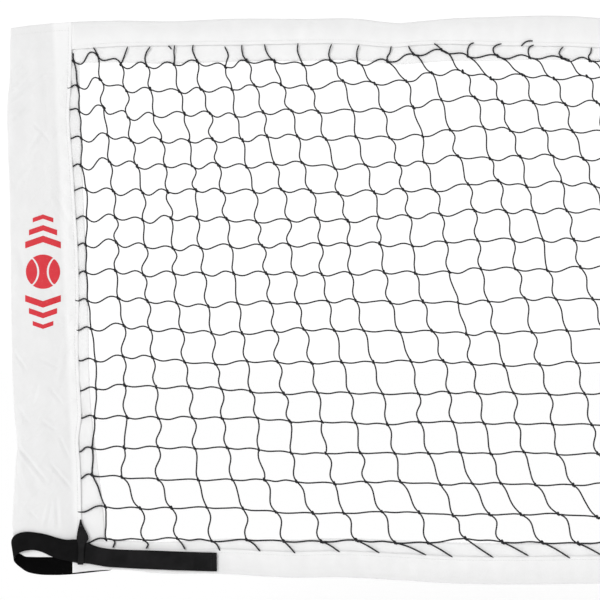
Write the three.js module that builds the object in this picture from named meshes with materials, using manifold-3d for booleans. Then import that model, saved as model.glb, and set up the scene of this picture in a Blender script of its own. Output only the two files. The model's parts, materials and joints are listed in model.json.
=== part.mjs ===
// Portable mini tennis net: a knotted twine netting between a folded head band and foot band,
// with a pole sleeve sewn to each end and, at each lower corner, a webbing strap that loops
// round the mouth of the sleeve, runs through a sewn keeper and lies along the foot band.
//
// Millimetres. X runs along the net, Z is up and Y goes through the cloth; -Y is the front.
// The origin is the middle of the head band's top edge, which hangs between the two poles.
import * as THREE from 'three';
import Module from 'manifold-3d';
import { mergeVertices } from 'three/addons/utils/BufferGeometryUtils.js';

// Driving dimensions
const OVERALL_LENGTH = 3050;
const NET_HEIGHT = 826;
const CLOTH = 1.3;              // a folded, sewn layer of coated polyester
const GAP = 0.3;                // between pieces that touch
const HAIR = 0.2;               // between a seam's thread and the cloth that it lies on
const THREAD = 0.5;

const NETTING_DEPTH = 2.4;      // knot to knot through the net
const HEAD_FRONT = 38;          // how far each band reaches over the netting
const HEAD_BACK = 62;
const FOOT_FRONT = 40;
const FOOT_BACK = 61;
const BAND_SEAM = 4;            // from each band's free edge in front to its seam

const SLEEVE_FRONT = 104;       // from the outer fold to the free edge of each layer
const SLEEVE_BACK = 116;
const SLEEVE_HEIGHT = 785;      // closed end down to the mouth
const SLEEVE_DEPTH = 10.6;
const POCKET_FLAT = 80;         // where the pocket starts to narrow towards its seam
const POCKET_END = 90;
const FORK_START = 98;          // where the layers part to take the netting's edge
const SLEEVE_END = 1.5;         // cloth over the closed end
const SLEEVE_SEAM = 3;          // from the front layer's free edge to its seam
const SLEEVE_SEAM_TOP = -2;
const SLEEVE_SEAM_LOW = -730;

const WEBBING_WIDTH = 25;
const WEBBING = 1.5;
const STRAP_SEWN = 150;         // how far behind the foot band the strap is sewn on
const STRAP_LOW = -799;         // height of the limb behind
const STRAP_TURN = -762;        // height just after the turn
const STRAP_HINGE = -780;       // height where the tail starts
const STRAP_TIP = -792;         // height at the free end
const TAIL_START = 116;
const TIP_START = 276;
const TIP_END = 303;
const HEM_START = 291;          // the free end is turned back and sewn
const TAIL_FACE = -7;           // the front face of the tail
const STRAP_CLEARANCE = 0.4;    // between the strap and the sleeve's fold
const BOX_STITCH_WIDTH = 22;
const BOX_STITCH_HEIGHT = 19;
const BOX_STITCH_INSET = 3;     // from the strap's sewn end

const KEEPER_LEFT = 101;
const KEEPER_WIDTH = 8;
const KEEPER_CLOTH = 1.3;
const KEEPER_CLEARANCE = 0.6;   // between the keeper and the strap that runs behind it
const KEEPER_TOP = -735;        // heights down the keeper: its sewn upper end,
const KEEPER_LIFTS = -748;      // where it leaves the band,
const KEEPER_OVER = -761;       // where it passes the strap's upper edge
const KEEPER_UNDER = -794;      // and the lower one,
const KEEPER_LANDS = -802;      // where it meets the band again
const KEEPER_END = -809;        // and its sewn lower end
const BARTACK_TOP = -741;
const BARTACK_LOW = -744;
const BARTACK_INSET = 1;        // from the keeper's edges

const TAPE_START = 226;
const TAPE_END = 270;
const TAPE_HEIGHT = 20;
const TAPE = 0.7;               // hook tape and loop tape

const EMBLEM_WIDTH = 52;
const EMBLEM_HEIGHT = 168;
const EMBLEM_X = 50;
const EMBLEM_Z = -369;
const INK = 0.3;

// Worked out from the dimensions above
const WRAP = STRAP_CLEARANCE + WEBBING;               // room that the strap takes round the fold
const FOLD_X = -OVERALL_LENGTH / 2 + WRAP;            // outer fold of the left sleeve
const BAND_INNER = NETTING_DEPTH / 2 + GAP;
const BAND_OUTER = BAND_INNER + CLOTH;
const FOOT_LEFT = 94;                                 // the foot band runs in under the sleeve
const HEAD_LEFT = SLEEVE_FRONT + GAP;
const FOLD_RADIUS = SLEEVE_DEPTH / 2;

const wasm = await Module();
wasm.setup();

const net = new THREE.Group();

const polyester = () => new THREE.MeshStandardMaterial({ color: 0xeeeeee, roughness: 0.7, metalness: 0 });
const twine = () => new THREE.MeshStandardMaterial({ color: 0x2b2b30, roughness: 0.8, metalness: 0 });
const webbing = () => new THREE.MeshStandardMaterial({ color: 0x171717, roughness: 0.75, metalness: 0 });
const tape = () => new THREE.MeshStandardMaterial({ color: 0x101010, roughness: 0.95, metalness: 0 });
const thread = () => new THREE.MeshStandardMaterial({ color: 0xf4f4f4, roughness: 0.6, metalness: 0 });
const ink = () => new THREE.MeshStandardMaterial({ color: 0xe83a46, roughness: 0.55, metalness: 0 });

function toSolid(geometry) {
  geometry.deleteAttribute('normal');
  geometry.deleteAttribute('uv');
  const merged = mergeVertices(geometry, 1e-4);
  return new wasm.Manifold(new wasm.Mesh({
    numProp: 3,
    vertProperties: new Float32Array(merged.attributes.position.array),
    triVerts: new Uint32Array(merged.index.array),
  }));
}

function toGeometry(solid) {
  const mesh = solid.getMesh();
  const geometry = new THREE.BufferGeometry();
  geometry.setAttribute('position', new THREE.BufferAttribute(mesh.vertProperties, 3));
  geometry.setIndex(new THREE.BufferAttribute(mesh.triVerts, 1));
  geometry.computeVertexNormals();
  return geometry;
}

/** A box between two corners, with x counted from the outer fold of the left sleeve. */
function slab(low, high) {
  const size = high.map((value, i) => value - low[i]);
  const box = new THREE.BoxGeometry(...size);
  return box.translate(FOLD_X + low[0] + size[0] / 2, low[1] + size[1] / 2, low[2] + size[2] / 2);
}

/** The same x at the other end of the net. */
const acrossNet = (x) => -2 * FOLD_X - x;

/** An outline in Y and Z, drawn out along X. */
function alongX(outline, fromX, toX) {
  const prism = new THREE.ExtrudeGeometry(outline, { depth: toX - fromX, bevelEnabled: false });
  const toYZX = new THREE.Matrix4().makeBasis(
    new THREE.Vector3(0, 1, 0), new THREE.Vector3(0, 0, 1), new THREE.Vector3(1, 0, 0));
  return prism.applyMatrix4(toYZX).translate(FOLD_X + fromX, 0, 0);
}

/** The mirror image for the right-hand end, with its faces turned to point out again. */
function mirrored(geometry) {
  const copy = geometry.index ? geometry.toNonIndexed() : geometry.clone();
  const position = copy.attributes.position;
  for (let i = 0; i < position.count; i += 3) {
    const corners = [2, 1, 0].map((k) => new THREE.Vector3().fromBufferAttribute(position, i + k));
    corners.forEach((corner, k) => position.setXYZ(i + k, -corner.x, corner.y, corner.z));
  }
  copy.computeVertexNormals();
  return copy;
}

function add(name, geometry, material) {
  const mesh = new THREE.Mesh(geometry, material);
  mesh.name = name;
  net.add(mesh);
}

/** Adds the left-hand piece and its mirror image at the right-hand end. */
function addPair(name, geometry, material) {
  add(`left_${name}`, geometry, material());
  add(`right_${name}`, mirrored(geometry), material());
}

// ---- Netting ------------------------------------------------------------------------------

function netting() {
  const edge = FORK_START + 1;
  const tuck = CLOTH + GAP;
  return slab([edge, -NETTING_DEPTH / 2, tuck - NET_HEIGHT], [acrossNet(edge), NETTING_DEPTH / 2, -tuck]);
}

// ---- Bands --------------------------------------------------------------------------------

/** A strip of cloth folded over an edge of the netting; up is 1 for the head and -1 for the foot. */
function band(front, back, up) {
  const fold = up > 0 ? 0 : -NET_HEIGHT;
  const outline = new THREE.Shape();
  outline.moveTo(-BAND_OUTER, fold);
  outline.lineTo(-BAND_OUTER, fold - up * front);
  outline.lineTo(-BAND_INNER, fold - up * front);
  outline.lineTo(-BAND_INNER, fold - up * CLOTH);
  outline.lineTo(BAND_INNER, fold - up * CLOTH);
  outline.lineTo(BAND_INNER, fold - up * back);
  outline.lineTo(BAND_OUTER, fold - up * back);
  outline.lineTo(BAND_OUTER, fold);
  return outline;
}

/** Cuts the band's back layer away where the back layer of each sleeve lies. */
function clearOfSleeves(geometry, fromZ, toZ) {
  let solid = toSolid(geometry);
  const reach = SLEEVE_BACK + GAP;
  for (const [fromX, toX] of [[0, reach], [acrossNet(reach), acrossNet(0)]]) {
    solid = solid.subtract(toSolid(slab([fromX, BAND_INNER - GAP, fromZ], [toX, BAND_OUTER + 1, toZ])));
  }
  return toGeometry(solid);
}

function headBand() {
  const strip = alongX(band(HEAD_FRONT, HEAD_BACK, 1), HEAD_LEFT, acrossNet(HEAD_LEFT));
  return clearOfSleeves(strip, -HEAD_BACK - 1, 1);
}

function footBand() {
  const strip = alongX(band(FOOT_FRONT, FOOT_BACK, -1), FOOT_LEFT, acrossNet(FOOT_LEFT));
  return clearOfSleeves(strip, -SLEEVE_HEIGHT - GAP, 0);
}

// ---- Pole sleeves -------------------------------------------------------------------------

function sleeveOutline() {
  const outline = new THREE.Shape();
  outline.moveTo(POCKET_END, -FOLD_RADIUS);
  outline.lineTo(FOLD_RADIUS, -FOLD_RADIUS);
  outline.absarc(FOLD_RADIUS, 0, FOLD_RADIUS, -Math.PI / 2, Math.PI / 2, true);
  outline.lineTo(POCKET_END, FOLD_RADIUS);
  outline.lineTo(FORK_START, BAND_OUTER);
  outline.lineTo(SLEEVE_BACK, BAND_OUTER);
  outline.lineTo(SLEEVE_BACK, BAND_INNER);
  outline.lineTo(FORK_START, BAND_INNER);
  outline.lineTo(FORK_START, -BAND_INNER);
  outline.lineTo(SLEEVE_FRONT, -BAND_INNER);
  outline.lineTo(SLEEVE_FRONT, -BAND_OUTER);
  outline.lineTo(FORK_START, -BAND_OUTER);
  return outline;
}

function pocketOutline() {
  const inner = FOLD_RADIUS - CLOTH;
  const outline = new THREE.Shape();
  outline.moveTo(POCKET_FLAT, -inner);
  outline.lineTo(FOLD_RADIUS, -inner);
  outline.absarc(FOLD_RADIUS, 0, inner, -Math.PI / 2, Math.PI / 2, true);
  outline.lineTo(POCKET_FLAT, inner);
  outline.lineTo(POCKET_END, 0);
  return outline;
}

/** A cloth tube, closed at the top and open at the bottom, with two layers over the netting's edge. */
function sleeve() {
  const options = { bevelEnabled: false, curveSegments: 10 };
  const outside = new THREE.ExtrudeGeometry(sleeveOutline(), { ...options, depth: SLEEVE_HEIGHT });
  const pocket = new THREE.ExtrudeGeometry(pocketOutline(), { ...options, depth: SLEEVE_HEIGHT });
  outside.translate(FOLD_X, 0, -SLEEVE_HEIGHT);
  pocket.translate(FOLD_X, 0, -SLEEVE_HEIGHT - SLEEVE_END);
  return toGeometry(toSolid(outside).subtract(toSolid(pocket)));
}

/** The printed mark on the left sleeve, as the flat patch that its ink covers. */
function emblem() {
  const front = -FOLD_RADIUS - GAP;
  return slab(
    [EMBLEM_X - EMBLEM_WIDTH / 2, front - INK, EMBLEM_Z - EMBLEM_HEIGHT / 2],
    [EMBLEM_X + EMBLEM_WIDTH / 2, front, EMBLEM_Z + EMBLEM_HEIGHT / 2]);
}

// ---- Seams --------------------------------------------------------------------------------

/** A lockstitch seam is two threads: the needle's on the front and the bobbin's on the back. */
function seamSides(name, addSide) {
  const inner = BAND_OUTER + HAIR;
  addSide(`${name}_needle_thread`, -inner - THREAD, -inner);
  addSide(`${name}_bobbin_thread`, inner, inner + THREAD);
}

function bandSeam(name, start, z) {
  seamSides(name, (side, front, back) => {
    add(side, slab([start, front, z], [acrossNet(start), back, z + THREAD]), thread());
  });
}

function sleeveSeams() {
  const seamX = SLEEVE_FRONT - SLEEVE_SEAM;
  seamSides('sleeve', (side, front, back) => {
    const stitches = slab([seamX, front, SLEEVE_SEAM_LOW], [seamX + THREAD, back, SLEEVE_SEAM_TOP]);
    addPair(side, stitches, thread);
  });
}

// ---- Corner straps ------------------------------------------------------------------------

/** A length of webbing on edge: plan is its centre line seen from above, and height gives its z. */
function ribbon(plan, height, segments) {
  const strip = new THREE.BoxGeometry(1, WEBBING, WEBBING_WIDTH, segments, 1, 1);
  const position = strip.attributes.position;
  for (let i = 0; i < position.count; i += 1) {
    const along = THREE.MathUtils.clamp(position.getX(i) + 0.5, 0, 1);
    const across = position.getY(i);
    const centre = plan.getPointAt(along);
    const ahead = plan.getTangentAt(along);
    const x = FOLD_X + centre.x - ahead.y * across;
    const y = centre.y + ahead.x * across;
    position.setXYZ(i, x, y, position.getZ(i) + height(along, centre));
  }
  return strip;
}

/** From its sewn end behind the foot band, round the sleeve's fold, to the keeper and the tail. */
function strapLoop() {
  const behind = BAND_OUTER + GAP + WEBBING / 2;
  const round = FOLD_RADIUS + STRAP_CLEARANCE + WEBBING / 2;
  const tailMiddle = TAIL_FACE + WEBBING / 2;
  const plan = new THREE.Path();
  plan.moveTo(STRAP_SEWN, behind);
  plan.lineTo(FORK_START - 4, behind);
  plan.lineTo(POCKET_FLAT, round);
  plan.lineTo(FOLD_RADIUS, round);
  plan.absarc(FOLD_RADIUS, 0, round, Math.PI / 2, 3 * Math.PI / 2, false);
  plan.lineTo(POCKET_FLAT, -round);
  plan.lineTo(TAIL_START - GAP, tailMiddle);
  const riseStart = 0.36;
  const riseEnd = 0.58;
  const height = (along) => {
    const rise = THREE.MathUtils.smoothstep(along, riseStart, riseEnd);
    const fall = THREE.MathUtils.clamp((along - riseEnd) / (1 - riseEnd), 0, 1);
    const upper = THREE.MathUtils.lerp(STRAP_TURN, STRAP_HINGE, fall);
    return THREE.MathUtils.lerp(STRAP_LOW, upper, rise);
  };
  return ribbon(plan, height, 72);
}

/** Height of the tail's centre line, which drops a little towards its free end. */
function tailHeight(x) {
  return THREE.MathUtils.mapLinear(x, TAIL_START, TIP_END, STRAP_HINGE, STRAP_TIP);
}

function strapTail() {
  const middle = TAIL_FACE + WEBBING / 2;
  const plan = new THREE.Path();
  plan.moveTo(TAIL_START + GAP, middle);
  plan.lineTo(TIP_START - GAP, middle);
  return ribbon(plan, (along, centre) => tailHeight(centre.x), 1);
}

/** The free end, doubled by the hem at its tip. */
function strapTip() {
  const inner = TAIL_FACE + WEBBING;
  const outline = new THREE.Shape();
  outline.moveTo(TIP_START + GAP, TAIL_FACE);
  outline.lineTo(TIP_END, TAIL_FACE);
  outline.lineTo(TIP_END, inner + WEBBING);
  outline.lineTo(HEM_START, inner + WEBBING);
  outline.lineTo(HEM_START, inner);
  outline.lineTo(TIP_START + GAP, inner);
  const tip = new THREE.ExtrudeGeometry(outline, { depth: WEBBING_WIDTH, bevelEnabled: false });
  return tip.translate(FOLD_X, 0, tailHeight((TIP_START + TIP_END) / 2) - WEBBING_WIDTH / 2);
}

/** Loop tape is sewn to the foot band, and hook tape to the tail, back to back with it. */
function fasteningTapes() {
  const middle = tailHeight((TAPE_START + TAPE_END) / 2);
  const low = middle - TAPE_HEIGHT / 2;
  const high = middle + TAPE_HEIGHT / 2;
  const loopBack = -BAND_OUTER - HAIR - THREAD - HAIR;
  const hookBack = TAIL_FACE + WEBBING + GAP;
  const loops = slab([TAPE_START, loopBack - TAPE, low], [TAPE_END, loopBack, high]);
  const hooks = slab([TAPE_START, hookBack, low], [TAPE_END, hookBack + TAPE, high]);
  addPair('loop_tape', loops, tape);
  addPair('hook_tape', hooks, tape);
}

/** A short strip sewn down above and below the strap, which runs behind it. */
function keeper() {
  const seat = -BAND_OUTER - GAP;
  const seatFront = seat - KEEPER_CLOTH;
  const bridge = TAIL_FACE - KEEPER_CLEARANCE;
  const bridgeFront = bridge - KEEPER_CLOTH;
  const bend = 1;
  const outline = new THREE.Shape();
  outline.moveTo(seat, KEEPER_TOP);
  outline.lineTo(seatFront, KEEPER_TOP);
  outline.lineTo(seatFront, KEEPER_LIFTS);
  outline.lineTo(bridgeFront, KEEPER_OVER);
  outline.lineTo(bridgeFront, KEEPER_UNDER);
  outline.lineTo(seatFront, KEEPER_LANDS);
  outline.lineTo(seatFront, KEEPER_END);
  outline.lineTo(seat, KEEPER_END);
  outline.lineTo(seat, KEEPER_LANDS + bend);
  outline.lineTo(bridge, KEEPER_UNDER + bend);
  outline.lineTo(bridge, KEEPER_OVER - bend);
  outline.lineTo(seat, KEEPER_LIFTS - bend);
  return alongX(outline, KEEPER_LEFT, KEEPER_LEFT + KEEPER_WIDTH);
}

/** The dense stitches that hold the keeper's upper end. */
function keeperBartack() {
  const front = -BAND_OUTER - GAP - KEEPER_CLOTH - HAIR;
  return slab(
    [KEEPER_LEFT + BARTACK_INSET, front - THREAD, BARTACK_LOW],
    [KEEPER_LEFT + KEEPER_WIDTH - BARTACK_INSET, front, BARTACK_TOP]);
}

/** A rectangle of stitches through the strap's sewn end. */
function strapStitching() {
  const width = BOX_STITCH_WIDTH;
  const height = BOX_STITCH_HEIGHT;
  const left = FOLD_X + STRAP_SEWN - width - BOX_STITCH_INSET;
  const back = BAND_OUTER + GAP + WEBBING + HAIR;
  const ring = new THREE.Shape([
    new THREE.Vector2(0, 0), new THREE.Vector2(width, 0),
    new THREE.Vector2(width, height), new THREE.Vector2(0, height)]);
  ring.holes.push(new THREE.Path([
    new THREE.Vector2(THREAD, THREAD), new THREE.Vector2(THREAD, height - THREAD),
    new THREE.Vector2(width - THREAD, height - THREAD), new THREE.Vector2(width - THREAD, THREAD)]));
  const stitches = new THREE.ExtrudeGeometry(ring, { depth: THREAD, bevelEnabled: false });
  stitches.rotateX(Math.PI / 2);
  return stitches.translate(left, back + THREAD, STRAP_LOW - height / 2);
}

add('netting', netting(), twine());
add('head_band', headBand(), polyester());
add('foot_band', footBand(), polyester());
addPair('sleeve', sleeve(), polyester);
add('emblem_print', emblem(), ink());
bandSeam('head', SLEEVE_BACK + BAND_SEAM, BAND_SEAM - HEAD_FRONT);
bandSeam('foot', STRAP_SEWN + BAND_SEAM, FOOT_FRONT - BAND_SEAM - NET_HEIGHT);
sleeveSeams();
addPair('strap_loop', strapLoop(), webbing);
addPair('strap_tail', strapTail(), webbing);
addPair('strap_tip', strapTip(), webbing);
fasteningTapes();
addPair('keeper', keeper(), webbing);
addPair('keeper_bartack', keeperBartack(), thread);
addPair('strap_stitching', strapStitching(), thread);

export default net;
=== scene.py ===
"""Looks of a portable mini tennis net: white coated cloth, knotted black twine and black webbing.

Lengths in this file are in millimetres until a mesh is made. A place on the net is (u, y, z): u runs
right from the outer fold of the left sleeve, y goes through the net with the front at -y, and z is
up from the head band's top edge. The right-hand end is the left one's mirror image. Materials and
flat sizes are in metres.
"""
import json
import math
import random

import bpy
import numpy as np
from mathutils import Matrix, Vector


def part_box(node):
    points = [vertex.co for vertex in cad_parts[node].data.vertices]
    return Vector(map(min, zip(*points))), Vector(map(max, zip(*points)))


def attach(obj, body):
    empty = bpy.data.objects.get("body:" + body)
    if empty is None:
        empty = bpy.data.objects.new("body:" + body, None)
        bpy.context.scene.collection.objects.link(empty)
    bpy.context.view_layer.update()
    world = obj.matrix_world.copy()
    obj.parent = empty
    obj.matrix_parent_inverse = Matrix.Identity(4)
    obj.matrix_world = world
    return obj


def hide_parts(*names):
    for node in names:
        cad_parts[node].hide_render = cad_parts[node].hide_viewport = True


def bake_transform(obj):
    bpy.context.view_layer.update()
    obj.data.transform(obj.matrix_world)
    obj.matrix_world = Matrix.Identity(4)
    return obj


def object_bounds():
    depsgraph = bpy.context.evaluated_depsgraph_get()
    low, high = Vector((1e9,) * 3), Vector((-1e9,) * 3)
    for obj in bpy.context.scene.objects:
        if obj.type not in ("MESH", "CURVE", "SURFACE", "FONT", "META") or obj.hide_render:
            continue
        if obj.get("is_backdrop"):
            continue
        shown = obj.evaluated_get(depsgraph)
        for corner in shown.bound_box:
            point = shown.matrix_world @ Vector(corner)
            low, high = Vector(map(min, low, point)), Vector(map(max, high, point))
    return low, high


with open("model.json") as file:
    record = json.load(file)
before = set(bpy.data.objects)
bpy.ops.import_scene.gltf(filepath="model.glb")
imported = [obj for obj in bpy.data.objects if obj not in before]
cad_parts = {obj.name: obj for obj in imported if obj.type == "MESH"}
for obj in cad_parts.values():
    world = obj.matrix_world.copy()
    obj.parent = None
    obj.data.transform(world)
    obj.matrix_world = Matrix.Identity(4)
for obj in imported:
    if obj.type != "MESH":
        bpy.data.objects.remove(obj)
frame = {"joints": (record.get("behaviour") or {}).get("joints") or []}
cad_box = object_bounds()

MM = 0.001
SEED = 41
FOLD_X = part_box("left_sleeve")[0].x / MM          # the outer fold of the left sleeve
SPAN = (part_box("right_sleeve")[1].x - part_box("left_sleeve")[0].x) / MM
HEIGHT = -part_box("foot_band")[0].z / MM
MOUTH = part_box("left_sleeve")[0].z / MM           # lower end of the sleeves

CLOTH = 0.5             # thickness of the coated cloth
TWINE = 2.15            # diameter of the netting's twine
WEBBING = 1.5           # thickness of the straps' webbing
THREAD = 0.45           # diameter of the sewing thread
AROUND = 0.01           # how far once round a tube reaches across its uvs, in metres

ROWS = 18
COLUMNS = 62


# ---- Small tools ------------

def smooth_curve(points):
    """A smooth function through (position, value) pairs, level beyond its ends."""
    xs, ys = (np.array(column, float) for column in zip(*sorted(points)))
    slopes = np.gradient(ys, xs)

    def value(x):
        x = np.clip(np.asarray(x, float), xs[0], xs[-1])
        i = np.clip(np.searchsorted(xs, x) - 1, 0, len(xs) - 2)
        step = xs[i + 1] - xs[i]
        t = (x - xs[i]) / step
        start = ys[i] * (1 + 2 * t) * (1 - t) ** 2 + slopes[i] * step * t * (1 - t) ** 2
        end = ys[i + 1] * t * t * (3 - 2 * t) + slopes[i + 1] * step * t * t * (t - 1)
        return start + end

    return value


def curves_at(positions, stations, at):
    """Each column of the stations as a smooth curve over their positions, read off at some places."""
    return [smooth_curve(list(zip(positions, column)))(at) for column in np.transpose(stations)]


def smoothstep(low, high, x):
    """From 0 at low to 1 at high, level at both; high may be the lower one."""
    t = np.clip((np.asarray(x, float) - low) / (high - low), 0, 1)
    return t * t * (3 - 2 * t)


def waves(seed, scale, count=7):
    """A smooth random function of two positions, mostly within -1 and 1; scale is its usual wavelength."""
    rng = random.Random(seed)
    parts = []
    for _ in range(count):
        turn = rng.uniform(0, math.pi)
        frequency = 2 * math.pi / (scale * rng.uniform(0.6, 1.7))
        parts.append((frequency * math.cos(turn), frequency * math.sin(turn), rng.uniform(0, 2 * math.pi)))

    def value(a, b):
        a = np.asarray(a, float)
        b = np.asarray(b, float)
        return sum(np.sin(p * a + q * b + r) for p, q, r in parts) / math.sqrt(count)

    return value


def stack(u, y, z):
    """An array of points from arrays of their coordinates."""
    return np.stack([u, y, z], axis=-1)


def unit(vectors):
    return vectors / np.maximum(np.linalg.norm(vectors, axis=-1, keepdims=True), 1e-9)


def reached(steps):
    """The distance from the start before the first step and after each one."""
    return np.concatenate([[0], np.cumsum(steps)])


def sway(u, z):
    """How far the hanging net leaves its plane; its ends, held by the poles, stay in it."""
    u = np.asarray(u, float)
    held = smoothstep(330, 900, u) * smoothstep(330, 900, SPAN - u)
    return 4.0 * held * (np.sin(u / 310 + 0.6) + 0.5 * np.sin(u / 145 + np.asarray(z, float) / 260))


def place(points, right=False):
    """Points of the net, in the row frame and in metres."""
    points = np.array(points, float)
    u, y, z = points[..., 0], points[..., 1], points[..., 2]
    x = FOLD_X + u
    return stack(-x if right else x, y + sway(u, z), z) * MM


def facing_out(verts, faces):
    """The quads, turned over if they enclose a negative volume, as a mirrored piece's do."""
    a, b, c, d = (verts[faces[:, k]] for k in range(4))
    volume = np.einsum("ij,ij->", a, np.cross(b, c)) + np.einsum("ij,ij->", a, np.cross(c, d))
    return faces if volume > 0 else faces[:, ::-1]


def new_piece(name, shape, material, slot, body=None, stands_for=None, inner=None):
    """A mesh piece from (points, quads, uvs), mirrored if its name starts with right_.

    It takes its finish from material, rides on body and stands for a CAD node; slot is not used.
    inner, as (material, first quad, last quad), gives those quads another material.
    """
    points, faces, uvs = shape
    verts = place(points, name.startswith("right_")).reshape(-1, 3)
    mesh = bpy.data.meshes.new(name)
    mesh.from_pydata(verts.tolist(), [], facing_out(verts, faces).tolist())
    layer = mesh.uv_layers.new(name="cloth")
    corners = np.zeros(len(mesh.loops), np.int32)
    mesh.loops.foreach_get("vertex_index", corners)
    layer.data.foreach_set("uv", np.asarray(uvs, np.float32)[corners].ravel())
    mesh.polygons.foreach_set("use_smooth", [True] * len(mesh.polygons))
    mesh.materials.append(material)
    if inner:
        mesh.materials.append(inner[0])
        on_inner = np.zeros(len(mesh.polygons), np.int32)
        on_inner[inner[1]:inner[2]] = 1
        mesh.polygons.foreach_set("material_index", on_inner)
    mesh.validate()
    mesh.update()
    piece = bpy.data.objects.new(name, mesh)
    bpy.context.scene.collection.objects.link(piece)
    if body:
        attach(piece, body)
    if stands_for:
        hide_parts(stands_for)
    return piece


def grid_faces(rows, columns, base=0, close=False):
    """Quads of a grid of points numbered row by row; close joins each row's last point to its first."""
    across = np.arange(columns if close else columns - 1)
    i, j = np.meshgrid(np.arange(rows - 1), across, indexing="ij")
    after = (j + 1) % columns
    quads = [i * columns + j, i * columns + after, (i + 1) * columns + after, (i + 1) * columns + j]
    return np.stack(quads, axis=-1).reshape(-1, 4) + base


def shell(grid, thickness):
    """Turns a grid of points into closed cloth of that thickness with round edges: points, quads, uvs."""
    n, m, _ = grid.shape
    normal = unit(np.cross(np.gradient(grid, axis=0), np.gradient(grid, axis=1)))
    half = normal * thickness / 2
    run = np.linalg.norm(np.diff(grid, axis=0), axis=-1).mean(axis=1)
    width = np.linalg.norm(np.diff(grid, axis=1), axis=-1).mean(axis=0)
    uv = np.stack(np.meshgrid(reached(run), reached(width), indexing="ij"), axis=-1) * MM
    ring = [(i, 0) for i in range(n)] + [(n - 1, j) for j in range(1, m)]
    ring += [(i, m - 1) for i in range(n - 2, -1, -1)] + [(0, j) for j in range(m - 2, 0, -1)]
    ring_i, ring_j = np.array(ring).T
    edge = grid[ring_i, ring_j]
    inward = unit(grid[np.clip(ring_i, 1, n - 2), np.clip(ring_j, 1, m - 2)] - edge)
    rounding = 0.4
    rim = edge - inward * thickness * rounding
    count = n * m
    index = ring_i * m + ring_j
    following = np.roll(index, -1)
    k = np.arange(len(ring)) + 2 * count
    k_next = np.roll(k, -1)
    faces = [grid_faces(n, m)[:, ::-1], grid_faces(n, m, count),
             np.stack([k, k_next, following, index], axis=-1),
             np.stack([index + count, following + count, k_next, k], axis=-1)]
    verts = np.concatenate([(grid + half).reshape(-1, 3), (grid - half).reshape(-1, 3), rim])
    uvs = np.concatenate([uv.reshape(-1, 2), uv.reshape(-1, 2), uv[ring_i, ring_j]])
    return verts, np.concatenate(faces), uvs


def one_side(grid, side, material):
    """That material for the first (0) or second (1) side of the shell of a grid, for new_piece()."""
    quads = (grid.shape[0] - 1) * (grid.shape[1] - 1)
    return material, side * quads, (side + 1) * quads


def join(parts):
    """Joins several (points, quads, uvs) into one."""
    verts, faces, uvs = zip(*parts)
    bases = reached([len(part) for part in verts[:-1]]).astype(int)
    faces = [part + base for part, base in zip(faces, bases)]
    return np.concatenate(verts), np.concatenate(faces), np.concatenate(uvs)


def tubes(paths, radius, sides):
    """Closed round tubes along paths, an array of (tubes, points, 3): points, quads, uvs.

    radius is one number, or one for each tube.
    """
    paths = np.asarray(paths, float)
    count, steps, _ = paths.shape
    tangent = unit(np.gradient(paths, axis=1))
    through = np.array([0.0, 1.0, 0.0]) + 0.2 * np.array([0.3, 0.0, 0.8])
    side = unit(np.cross(tangent, through))
    up = np.cross(side, tangent)
    angle = np.linspace(0, 2 * math.pi, sides, endpoint=False)
    ring = side[..., None, :] * np.cos(angle)[:, None] + up[..., None, :] * np.sin(angle)[:, None]
    end_taper = 0.45
    taper = np.ones(steps)
    taper[[0, -1]] = end_taper
    thick = np.broadcast_to(radius, count)[:, None, None, None]
    verts = paths[..., None, :] + ring * thick * taper[None, :, None, None]
    stretches = np.linalg.norm(np.diff(paths, axis=1), axis=-1)
    length = np.concatenate([np.zeros((count, 1)), np.cumsum(stretches, axis=1)], axis=1)
    around = np.broadcast_to(np.arange(sides) / sides, (count, steps, sides))
    uvs = np.stack([np.broadcast_to(length[..., None], around.shape) * MM, around * AROUND], axis=-1)
    one = grid_faces(steps, sides, close=True)[:, ::-1]
    offsets = (np.arange(count) * steps * sides)[:, None, None]
    walls = (one[None] + offsets).reshape(-1, 4)
    ends = []
    for start, turn in ((0, 1), ((steps - 1) * sides, -1)):
        for k in range(1, sides - 1, 2):
            ends.append([start, start + k, start + k + 1, start + min(k + 2, sides - 1)][::turn])
    caps = (np.array(ends)[None] + offsets).reshape(-1, 4)
    return verts.reshape(-1, 3), np.concatenate([walls, caps]), uvs.reshape(-1, 2)


# ---- Materials ------------

WEAVE = (0.00042, 0.00046)      # spacing of the cloth's warp and weft threads
SLEEVE_SEAM_LEAN = 0.043        # how far the sleeves' seams lean towards the middle in each metre down
WHITE = (1, 1, 1, 1)


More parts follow.
